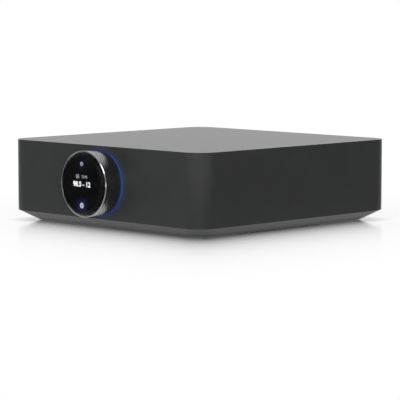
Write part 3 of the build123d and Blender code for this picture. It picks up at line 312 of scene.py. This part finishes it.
# The record's material slots that are plain finishes: colour, roughness and whatever else differs
FINISHES = {
    "cabinet_paint": (
        (0.0258, 0.0264, 0.0267),
        0.25,
        {"ior": 1.16, "mottle": 0.05, "grain": 3200, "grain_depth": 0.006},
    ),
    "foot_rubber": (
        (0.012, 0.012, 0.012),
        0.85,
        {"ior": 1.4, "grain": 1500, "grain_depth": 0.03},
    ),
    "panel_plastic": ((0.016, 0.016, 0.017), 0.55, {"grain": 1400, "grain_depth": 0.03}),
    "black_plastic": ((0.012, 0.012, 0.013), 0.42, {"grain": 1800, "grain_depth": 0.012}),
    "post_plastic": ((0.010, 0.010, 0.011), 0.22, {"grain": 500, "grain_depth": 0.004}),
    "red_plastic": ((0.42, 0.012, 0.010), 0.22, {"grain": 500, "grain_depth": 0.004}),
    "black_steel": (
        (0.05, 0.05, 0.052),
        0.38,
        {"metallic": 1.0, "grain": 1600, "grain_depth": 0.01},
    ),
    "bright_steel": (
        (0.58, 0.58, 0.57),
        0.30,
        {"metallic": 1.0, "grain": 900, "grain_depth": 0.004, "grain_stretch": (1, 12, 1)},
    ),
    "dial_metal": (
        (0.46, 0.46, 0.47),
        0.2,
        {"metallic": 1.0, "mottle": 0.06, "grain": 2600, "grain_depth": 0.002},
    ),
    "magnet": ((0.07, 0.065, 0.06), 0.6, {"metallic": 0.4, "grain": 2200, "grain_depth": 0.02}),
    "bush_plastic": ((0.74, 0.73, 0.69), 0.4, {"grain": 1200, "grain_depth": 0.004}),
    "cast_metal": (
        (0.42, 0.42, 0.43),
        0.5,
        {"metallic": 1.0, "grain": 1400, "grain_depth": 0.03},
    ),
    "led": ((0.8, 0.78, 0.6), 0.25, {"grain": 2500, "grain_depth": 0.01}),
    "chip": ((0.018, 0.018, 0.019), 0.5, {"grain": 3000, "grain_depth": 0.01}),
    "ribbon": (
        (0.45, 0.22, 0.05),
        0.3,
        {"mottle": 0.25, "grain": 1100, "grain_depth": 0.02, "grain_stretch": (1, 0.05, 0.05)},
    ),
    "ferrite": ((0.06, 0.06, 0.062), 0.55, {"grain": 2000, "grain_depth": 0.03}),
    "winding": (
        (0.62, 0.36, 0.05),
        0.35,
        {"grain": 1500, "grain_depth": 0.08, "grain_stretch": (0.1, 0.1, 1)},
    ),
    "capacitor_sleeve": ((0.012, 0.014, 0.04), 0.25, {"grain": 700, "grain_depth": 0.005}),
    "heat_sink_metal": (
        (0.5, 0.5, 0.5),
        0.42,
        {"metallic": 1.0, "grain": 900, "grain_depth": 0.01, "grain_stretch": (8, 0.3, 8)},
    ),
    "lead_sleeve": ((0.03, 0.03, 0.032), 0.45, {"grain": 1300, "grain_depth": 0.01}),
    "gold_plate": (
        (0.85, 0.58, 0.22),
        0.22,
        {"metallic": 1.0, "mottle": 0.05, "grain": 1800, "grain_depth": 0.002},
    ),
}

looks = {
    name: finish_surface(name, colour, roughness, **rest)
    for name, (colour, roughness, rest) in FINISHES.items()
}
looks["screen"] = screen_surface()
looks["cover_glass"] = glass_surface("cover_glass", GLASS_FRONT_COAT_IOR)
looks["light_diffuser"] = diffuser_surface()
looks["circuit_board"] = board_surface()
# The cabinet's paint gets the light ring's glow painted into it as emission
add_painted_halo(looks["cabinet_paint"])

# Looks of pieces and faces that the record has no slot for
glass_edge = glass_surface("glass_edge", GLASS_EDGE_COAT_IOR)
# Darker metal for the knurl's deep grooves: painted shade in the grooves
dial_groove_shade = finish_surface(
    "dial_groove_shade", (0.07, 0.07, 0.073), 0.3, 1.0, grain=2600, grain_depth=0.002
)
dial_rim = finish_surface(
    "dial_rim", (0.165, 0.165, 0.17), 0.18, 1.0, mottle=0.04, grain=2600, grain_depth=0.001
)
ring_white = finish_surface("ring_white", (0.75, 0.74, 0.72), 0.35, grain=1200, grain_depth=0.004)
ring_violet = finish_surface("ring_violet", (0.10, 0.03, 0.20), 0.35, grain=1200, grain_depth=0.004)
screen_white = glowing("screen_white", (0.78, 0.79, 0.80))
screen_grey = glowing("screen_grey", (0.2, 0.204, 0.208))
screen_pale = glowing("screen_pale", (0.35, 0.38, 0.43))

for row in frame["record"]["subparts"]:
    for place in nodes[row["node"]].material_slots:
        place.material = looks[row["material_slot"]]


# Mesh helpers. A sharp angle, in degrees, is the angle above which an edge stays sharp.
def piece(name, vertices, faces, look, body, slot, sharp_angle=35):
    """A new mesh piece that rides on a body, smooth except at its sharp edges."""
    mesh = bpy.data.meshes.new(name)
    mesh.from_pydata(vertices, [], faces)
    mesh.update()
    mesh.materials.append(look)
    for face in mesh.polygons:
        face.use_smooth = True
    mesh.set_sharp_from_angle(angle=radians(sharp_angle))
    made = bpy.data.objects.new(name, mesh)
    scene.collection.objects.link(made)
    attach(made, body)
    return made


def turned(axis, profile, steps):
    """A closed profile of (radius, along) pairs, turned about an axis along Y.

    Its normals point outwards when the profile runs towards -Y along its outer side.
    """
    vertices = []
    for step in range(steps):
        turn = tau * step / steps
        vertices += [
            (axis[0] + radius * sin(turn), along, axis[1] + radius * cos(turn))
            for radius, along in profile
        ]
    count = len(profile)
    faces = []
    for step in range(steps):
        here, there = step * count, (step + 1) % steps * count
        for row in range(count):
            after = (row + 1) % count
            faces.append((here + row, here + after, there + after, there + row))
    return vertices, faces


# Dial ring: diamond knurling on its side, with painted shade in its deep grooves, and a polished
# rim round the glass
KNURL_COUNT = 80
KNURL_DEPTH = 0.26 * MM
KNURL_STEPS = 4
KNURL_SHARPNESS = 1.3
# How deep a knurl face must lie to get the painted groove shade
SHADED_GROOVE_SHARE = 0.6
DIAL_TAPER = 1.07 * MM
DIAL_REAR_WALL = 0.8 * MM
DIAL_GLASS_GAP = 0.25 * MM
DIAL_WELL = 4.0 * MM
DIAL_SHARP_ANGLE = 30
RIM_BAND = 0.7 * MM
RIM_FACET = (0.7 * MM, 0.5 * MM)
RIM_INNER_CHAMFER = 0.12 * MM


def knurl(turn, along):
    """How deep the two crossing families of grooves are there, from 0 to 1."""
    slant = (DIAL_REAR - along) / (tau * DIAL_RADIUS) * KNURL_COUNT
    waves = [abs(2 * ((turn * KNURL_COUNT + way * slant) % 1) - 1) for way in (-1, 1)]
    return max(waves) ** KNURL_SHARPNESS


def make_dial():
    """The knurled ring with its rim and well, as one closed mesh."""
    steps = KNURL_COUNT * KNURL_STEPS
    side_front = DIAL_FRONT + RIM_FACET[1]
    knurl_front = side_front + RIM_BAND
    knurl_rear = DIAL_REAR - RIM_BAND
    knurl_length = knurl_rear - knurl_front
    rows = round(knurl_length / (tau * DIAL_RADIUS / KNURL_COUNT) * KNURL_STEPS)
    side = [DIAL_REAR] + [knurl_rear - knurl_length * row / rows for row in range(rows + 1)]
    side.append(side_front)

    def radius_at(along):
        return DIAL_RADIUS - DIAL_TAPER * (along - side_front) / (DIAL_REAR - side_front)

    bore = GLASS_RADIUS + DIAL_GLASS_GAP
    rear_bore = DIAL_RADIUS - DIAL_TAPER - DIAL_REAR_WALL
    profile = [(radius_at(along), along) for along in side]
    profile += [
        (DIAL_RADIUS - RIM_FACET[0], DIAL_FRONT),
        (bore + RIM_INNER_CHAMFER, DIAL_FRONT),
        (bore, DIAL_FRONT + RIM_INNER_CHAMFER),
        (bore, DIAL_FRONT + DIAL_WELL),
        (rear_bore, DIAL_FRONT + DIAL_WELL),
        (rear_bore, DIAL_REAR),
    ]
    vertices, faces = turned((0, DIAL_Z), profile, steps)
    count = len(profile)
    cut = []
    for index, (x, y, z) in enumerate(vertices):
        step, row = divmod(index, count)
        if 1 < row < rows + 1:
            radius = radius_at(y) - KNURL_DEPTH * knurl(step / steps, y)
            x, z = radius * sin(tau * step / steps), DIAL_Z + radius * cos(tau * step / steps)
        cut.append((x, y, z))
    made = piece(
        "knurled_dial", cut, faces, looks["dial_metal"], "dial", "dial_metal", DIAL_SHARP_ANGLE
    )
    made.data.materials.append(dial_rim)
    made.data.materials.append(dial_groove_shade)
    rim_rows = range(rows + 2, rows + 5)
    for index, face in enumerate(made.data.polygons):
        step, row = divmod(index, count)
        if row in rim_rows:
            face.material_index = 1
        elif 1 <= row < rows + 1:
            middle = (side[row] + side[row + 1]) / 2
            # Faces deep in the grooves take the darker metal, a painted shade
            if knurl((step + 0.5) / steps, middle) > SHADED_GROOVE_SHARE:
                face.material_index = 2
    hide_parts("dial_ring")


make_dial()


# Cover glass: a flat front with a rounded edge that stands out of the rim. The profile stops
# just short of the axis, so that no face there has zero area.
GLASS_EDGE = (3.2 * MM, 2.4 * MM)
GLASS_EDGE_STEPS = 10
GLASS_AXIS_GAP = 0.02 * MM
GLASS_SEGMENTS = 144
GLASS_SHARP_ANGLE = 50


def make_glass():
    """One lens-like disc, with its rounded edge in a look of its own."""
    width, drop = GLASS_EDGE
    profile = [(GLASS_RADIUS, glass_high.y)]
    for step in range(GLASS_EDGE_STEPS + 1):
        turn = radians(90) * step / GLASS_EDGE_STEPS
        profile.append(
            (GLASS_RADIUS - width + width * cos(turn), glass_low.y + drop - drop * sin(turn))
        )
    profile += [(GLASS_AXIS_GAP, glass_low.y), (GLASS_AXIS_GAP, glass_high.y)]
    vertices, faces = turned((0, DIAL_Z), profile, GLASS_SEGMENTS)
    made = piece(
        "domed_glass",
        vertices,
        faces,
        looks["cover_glass"],
        "cabinet",
        "cover_glass",
        GLASS_SHARP_ANGLE,
    )
    made.data.materials.append(glass_edge)
    for index, face in enumerate(made.data.polygons):
        if 1 <= index % len(profile) <= GLASS_EDGE_STEPS:
            face.material_index = 1
    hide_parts("cover_glass")


make_glass()


# Screen picture: plain figures and generic symbols, just in front of the display. Places and
# sizes on it are in millimetres from the picture's middle.
SYMBOL_GAP = 0.06 * MM
SYMBOL_DEPTH = 0.05 * MM
SYMBOL_SHARP_ANGLE = 20
SCREEN_Y = panel_low.y - SYMBOL_GAP
FIGURE_SIZE = 1.38
FIGURE_WEIGHT = 0.03
FIGURE_SMOOTHNESS = 6
COG_RADIUS = 1.35
COG_WIDTH = 1.1
COG_SEGMENTS = 24
COG_TEETH = 8
COG_TOOTH = ((1.8, -0.22), (2.3, -0.14), (2.3, 0.14), (1.8, 0.22))


def on_circle(middle, radius, turn):
    """The point on a circle at an angle in radians, anticlockwise from the right."""
    return middle[0] + radius * cos(turn), middle[1] + radius * sin(turn)


def arc_quads(middle, radius, width, start, end, steps):
    """Quads along an arc between two angles in degrees, anticlockwise from the right."""
    quads = []
    for step in range(steps):
        turns = [radians(start + (end - start) * (step + more) / steps) for more in (0, 1)]
        inner = [on_circle(middle, radius - width / 2, turn) for turn in turns]
        outer = [on_circle(middle, radius + width / 2, turn) for turn in turns]
        quads.append([inner[0], outer[0], outer[1], inner[1]])
    return quads


def bar(left, low, right, high):
    """One upright rectangle."""
    return [(left, low), (right, low), (right, high), (left, high)]


def cog(middle):
    """Quads of a cog: a ring with square teeth."""
    quads = arc_quads(middle, COG_RADIUS, COG_WIDTH, 0, 360, COG_SEGMENTS)
    for tooth in range(COG_TEETH):
        turn = tau * tooth / COG_TEETH
        quads.append([on_circle(middle, reach, turn + way) for reach, way in COG_TOOTH])
    return quads


def flat_piece(name, outlines, look):
    """A thin piece made of flat plates, each given by its (x, z) corners."""
    vertices, faces = [], []
    for outline in outlines:
        start = len(vertices)
        for along in (SCREEN_Y, SCREEN_Y + SYMBOL_DEPTH):
            vertices += [(SCREEN_X + x * MM, along, DIAL_Z + z * MM) for x, z in outline]
        count = len(outline)
        faces.append(tuple(range(start, start + count)))
        faces.append(tuple(reversed(range(start + count, start + 2 * count))))
        for corner in range(count):
            near, far = start + corner, start + (corner + 1) % count
            faces.append((far, near, near + count, far + count))
    piece(name, vertices, faces, look, "cabinet", "screen", SYMBOL_SHARP_ANGLE)


def figures(name, text, middle, cap, look):
    """A line of bold figures with a given middle and height."""
    curve = bpy.data.curves.new(name, "FONT")
    curve.body = text
    curve.align_x = "CENTER"
    curve.align_y = "CENTER"
    curve.size = cap * MM * FIGURE_SIZE
    curve.offset = cap * MM * FIGURE_WEIGHT
    curve.extrude = SYMBOL_DEPTH / 2
    curve.resolution_u = FIGURE_SMOOTHNESS
    line = bpy.data.objects.new(name, curve)
    scene.collection.objects.link(line)
    bpy.context.view_layer.update()
    evaluated = line.evaluated_get(bpy.context.evaluated_depsgraph_get())
    mesh = bpy.data.meshes.new_from_object(evaluated)
    bpy.data.objects.remove(line)
    place = (SCREEN_X + middle[0] * MM, SCREEN_Y + SYMBOL_DEPTH / 2, DIAL_Z + middle[1] * MM)
    mesh.transform(Matrix.Translation(place) @ Matrix.Rotation(radians(90), 4, "X"))
    mesh.materials.clear()
    mesh.materials.append(look)
    made = bpy.data.objects.new(name, mesh)
    scene.collection.objects.link(made)
    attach(made, "cabinet")


upper = UPPER_SYMBOL / MM
lower = LOWER_SYMBOL / MM
figures("screen_line", "98.5 - 12", (0, -0.4), 4.0, screen_white)
figures("screen_clock", "12:45", (3.2, 5.6), 2.3, screen_grey)
flat_piece(
    "standby_symbol",
    arc_quads((0, upper - 0.2), 1.25, 0.5, 125, 415, 20) + [bar(-0.25, upper, 0.25, upper + 1.6)],
    screen_pale,
)
flat_piece(
    "source_symbol",
    [
        bar(-6.6, 4.2, -5.9, 7.2),
        bar(-3.8, 4.2, -3.1, 7.2),
        bar(-5.9, 6.6, -3.8, 7.2),
        bar(-5.9, 4.2, -3.8, 4.8),
        bar(-5.4, 5.3, -4.3, 6.1),
    ],
    screen_grey,
)
flat_piece("settings_symbol", cog((0, lower)), screen_pale)


# Coloured insulating rings round the phono sockets' shells
SHELL_RADIUS = 4.15 * MM
COLLAR_FACE = 98.5 * MM
COLLAR_BORE = 3.95 * MM
COLLAR_TOP_RADIUS = 4.9 * MM
COLLAR_RADIUS = 5.1 * MM
COLLAR_TOP = COLLAR_FACE + 0.5 * MM
COLLAR_EDGE = COLLAR_FACE + 0.3 * MM
COLLAR_SEGMENTS = 64

shell_low, shell_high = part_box("phono_shells")
phono_z = (shell_low.z + shell_high.z) / 2
phono_left = shell_low.x + SHELL_RADIUS
phono_right = shell_high.x - SHELL_RADIUS
collar = [
    (COLLAR_BORE, COLLAR_FACE),
    (COLLAR_BORE, COLLAR_TOP),
    (COLLAR_TOP_RADIUS, COLLAR_TOP),
    (COLLAR_RADIUS, COLLAR_EDGE),
    (COLLAR_RADIUS, COLLAR_FACE),
]
for name, place, look, slot_name in (
    ("phono_ring_left", phono_right, ring_white, "bush_plastic"),
    ("phono_ring_right", (phono_left + phono_right) / 2, looks["red_plastic"], "red_plastic"),
    ("phono_ring_low", phono_left, ring_violet, "black_plastic"),
):
    piece(name, *turned((place, phono_z), collar, COLLAR_SEGMENTS), look, "cabinet", slot_name)


# Base: the same tray, with its lower corners rounded as widely as the cabinet's
BASE_HALF = 98.5 * MM
BEVEL_INSET = 11.5 * MM
BEVEL_HEIGHT = 7.5 * MM
BASE_CORNER = 8.0 * MM
BODY_CORNER = 16.5 * MM
BASE_SHARP_ANGLE = 23
ARC_TOLERANCE = 0.05 * MM
MERGE_DISTANCE = 0.001 * MM


def make_base():
    """The base tray's own mesh, with its bevel's four corners moved onto wider arcs."""
    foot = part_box("base_tray")[0].z
    shape = bmesh.new()
    shape.from_mesh(nodes["base_tray"].data)
    bmesh.ops.remove_doubles(shape, verts=shape.verts, dist=MERGE_DISTANCE)
    shape.verts.index_update()
    vertices = []
    for vertex in shape.verts:
        x, y, z = vertex.co
        share = (z - foot) / BEVEL_HEIGHT
        half = BASE_HALF + BEVEL_INSET * share
        radius = BASE_CORNER + (BODY_CORNER - BASE_CORNER) * share
        across, along = abs(x) - half + radius, abs(y) - half + radius
        on_arc = abs(hypot(across, along) - radius) < ARC_TOLERANCE
        in_corner = min(across, along) > -ARC_TOLERANCE
        if on_arc and in_corner and z < foot + BEVEL_HEIGHT + ARC_TOLERANCE:
            turn = min(max(atan2(along, across), 0), radians(90))
            x = copysign(half - BODY_CORNER * (1 - cos(turn)), x)
            y = copysign(half - BODY_CORNER * (1 - sin(turn)), y)
        vertices.append((x, y, z))
    faces = [[vertex.index for vertex in face.verts] for face in shape.faces]
    shape.free()
    made = piece(
        "rounded_base",
        vertices,
        faces,
        looks["cabinet_paint"],
        "cabinet",
        "cabinet_paint",
        BASE_SHARP_ANGLE,
    )
    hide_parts("base_tray")


make_base()


# Floor: white, with the object's soft shadow and a reflection that fades away from it.
# Distances are in metres outside the base's outline.
FLOOR_SIZE = 6.0
FLOOR_LEVEL = -0.0002
FLOOR_WHITE = (0.93, 0.93, 0.93)
SHADOW_SHARE = 0.25
SHADOW_REACH = 0.2

# The distance over which the reflection's share halves, how dim it is beside the object, where it
# is painted darker as shade at the foot, and the distances between which that painted shade ends
REFLECTION_HALVES = 0.022
REFLECTION_PAINTED_SHADE = 0.62
REFLECTION_CLEARS = (0.005, 0.02)
REFLECTION_ROUGHNESS = 0.14

# What glossy surfaces see of the floor, painted into its emission as light and shade: its level
# beside the object and a little way off, its level far off, how much brighter it is ahead of the
# near corner as a painted pool of light, and how dark at the foot as painted shade
SEEN_LEVEL = (0.84, 1.6)
SEEN_RISE = (0.008, 0.02)
SEEN_FAR = 0.5
SEEN_FALL = (0.05, 0.15)
SEEN_AHEAD = 8
SEEN_AHEAD_SPAN = (0.5, 0.9)
SEEN_CONTACT = 0.65
SEEN_CONTACT_REACH = 0.002


def make_floor():
    """A white floor that reflects the object, with painted light and shade in the emission that
    glossy surfaces see.
    """
    half = FLOOR_SIZE / 2
    corners = [(-half, -half, 0), (half, -half, 0), (half, half, 0), (-half, half, 0)]
    mesh = bpy.data.meshes.new("floor")
    mesh.from_pydata(corners, [], [(0, 1, 2, 3)])
    floor = bpy.data.objects.new("floor", mesh)
    floor.location.z = FLOOR_LEVEL
    scene.collection.objects.link(floor)
    made, tree, shader, add = material("floor")
    mesh.materials.append(made)
    tree.nodes.remove(shader)

    def arithmetic(operation, first, second=0):
        node = add("ShaderNodeMath", operation=operation)
        for value, socket in zip((first, second), node.inputs):
            if isinstance(value, (int, float)):
                socket.default_value = value
            else:
                tree.links.new(value, socket)
        return node.outputs["Value"]

    def blend(share, first, second):
        node = add("ShaderNodeMixShader")
        for value, socket in zip((share, first, second), node.inputs):
            tree.links.new(value, socket)
        return node.outputs["Shader"]

    # How far outside the base's outline, along lines that keep its corner radius
    place = add("ShaderNodeTexCoord")
    absolute = add("ShaderNodeVectorMath", operation="ABSOLUTE")
    tree.links.new(place.outputs["Object"], absolute.inputs[0])
    sides = add("ShaderNodeSeparateXYZ")
    tree.links.new(absolute.outputs[0], sides.inputs["Vector"])
    total = arithmetic("ADD", sides.outputs["X"], sides.outputs["Y"])
    apart = arithmetic("ABSOLUTE", arithmetic("SUBTRACT", sides.outputs["X"], sides.outputs["Y"]))
    on_arc = arithmetic("POWER", arithmetic("MINIMUM", apart, BODY_CORNER), 2)
    arc = arithmetic("SQRT", arithmetic("SUBTRACT", 2 * BODY_CORNER**2, on_arc))
    beyond = arithmetic("MAXIMUM", arithmetic("SUBTRACT", apart, BODY_CORNER), 0)
    doubled = arithmetic("ADD", arithmetic("SUBTRACT", total, arc), beyond)
    halved = arithmetic("MULTIPLY", doubled, 0.5)
    past = arithmetic("SUBTRACT", halved, BASE_HALF - BODY_CORNER)
    distance = arithmetic("MAXIMUM", past, 0)

    # What the camera sees
    white = add("ShaderNodeEmission")
    matt = add("ShaderNodeBsdfDiffuse")
    matt.inputs["Color"].default_value = (*FLOOR_WHITE, 1)
    shadow = spread(tree, add, distance, SHADOW_SHARE, 0, 0, SHADOW_REACH)
    shaded = blend(shadow, white.outputs["Emission"], matt.outputs["BSDF"])
    gloss = add("ShaderNodeBsdfGlossy")
    # Painted shade: the reflection is dimmer right beside the object
    clear = spread(tree, add, distance, 0, 1, *REFLECTION_CLEARS)
    tree.links.new(tint(tree, add, clear, [REFLECTION_PAINTED_SHADE] * 3, [1] * 3), gloss.inputs["Color"])
    gloss.inputs["Roughness"].default_value = REFLECTION_ROUGHNESS
    fade = arithmetic("POWER", 0.5, arithmetic("DIVIDE", distance, REFLECTION_HALVES))
    whole = blend(fade, shaded, gloss.outputs["BSDF"])

    # What glossy surfaces see: painted light, brighter just beside the object and towards the near
    # corner, and painted shade at the foot
    split = add("ShaderNodeSeparateXYZ")
    tree.links.new(place.outputs["Object"], split.inputs["Vector"])
    towards = arithmetic("SUBTRACT", split.outputs["X"], split.outputs["Y"])
    ahead = spread(tree, add, towards, 1, SEEN_AHEAD, *SEEN_AHEAD_SPAN)
    rise = spread(tree, add, distance, *SEEN_LEVEL, *SEEN_RISE)
    fall = spread(tree, add, distance, 1, SEEN_FAR, *SEEN_FALL)
    # Painted shade at the foot: the level seen by glossy surfaces drops there
    contact = spread(tree, add, distance, SEEN_CONTACT, 1, 0, SEEN_CONTACT_REACH)
    seen = add("ShaderNodeEmission")
    level = arithmetic(
        "MULTIPLY", arithmetic("MULTIPLY", rise, fall), arithmetic("MULTIPLY", ahead, contact)
    )
    tree.links.new(level, seen.inputs["Strength"])
    path = add("ShaderNodeLightPath")
    mirrored = blend(path.outputs["Is Glossy Ray"], whole, seen.outputs["Emission"])
    tree.links.new(mirrored, tree.nodes["Material Output"].inputs["Surface"])


make_floor()


# Studio: a white surround that is dimmer to the right. Its X direction runs from -1 to 1, and
# between the first two values the level falls from the third to the fourth.
WORLD_FALL = (-0.6, 1, 1.0, 0.32)


def make_world():
    """A surround whose level falls towards +X, and that is white where the camera sees it."""
    world = bpy.data.worlds.new("studio")
    scene.world = world
    world.use_nodes = True
    tree = world.node_tree
    add = adder(tree)
    background = tree.nodes["Background"]
    place = add("ShaderNodeTexCoord")
    split = add("ShaderNodeSeparateXYZ")
    level = add("ShaderNodeMapRange")
    path = add("ShaderNodeLightPath")
    seen = add("ShaderNodeMath", operation="MAXIMUM")
    for socket, value in zip(("From Min", "From Max", "To Min", "To Max"), WORLD_FALL):
        level.inputs[socket].default_value = value
    tree.links.new(place.outputs["Generated"], split.inputs["Vector"])
    tree.links.new(split.outputs["X"], level.inputs["Value"])
    tree.links.new(level.outputs["Result"], seen.inputs[0])
    tree.links.new(path.outputs["Is Camera Ray"], seen.inputs[1])
    tree.links.new(seen.outputs["Value"], background.inputs["Strength"])
    background.inputs["Color"].default_value = (1, 1, 1, 1)


make_world()


def lamp(name, place, target, watts, size):
    """A white square lamp at a place, turned towards a target."""
    light = bpy.data.lights.new(name, "AREA")
    light.energy = watts
    light.size = size
    made = bpy.data.objects.new(name, light)
    made.location = place
    made.rotation_euler = (Vector(target) - Vector(place)).to_track_quat("-Z", "Y").to_euler()
    scene.collection.objects.link(made)


lamp("key", (0.42, -1.80, 0.96), (0, -0.11, 0.04), 11, 0.6)
lamp("fill", (1.5, -1.5, 0.55), (0.1, -0.1, 0.03), 12, 0.9)

# Camera: fitted to the photograph's outline lines. Its angles are in degrees.
CAMERA_PLACE = (1.24398, -1.24398, 0.19173)
CAMERA_DOWN = 5.714
CAMERA_TURN = 45
CAMERA_SENSOR = 36
CAMERA_LENS = 194.13
CAMERA_REACH = 50

camera = bpy.data.objects.new("camera", bpy.data.cameras.new("camera"))
camera.location = CAMERA_PLACE
camera.rotation_euler = (radians(90 - CAMERA_DOWN), 0, radians(CAMERA_TURN))
camera.data.sensor_width = CAMERA_SENSOR
camera.data.lens = CAMERA_LENS
camera.data.clip_end = CAMERA_REACH
scene.collection.objects.link(camera)
scene.camera = camera
scene.view_settings.view_transform = "Standard"
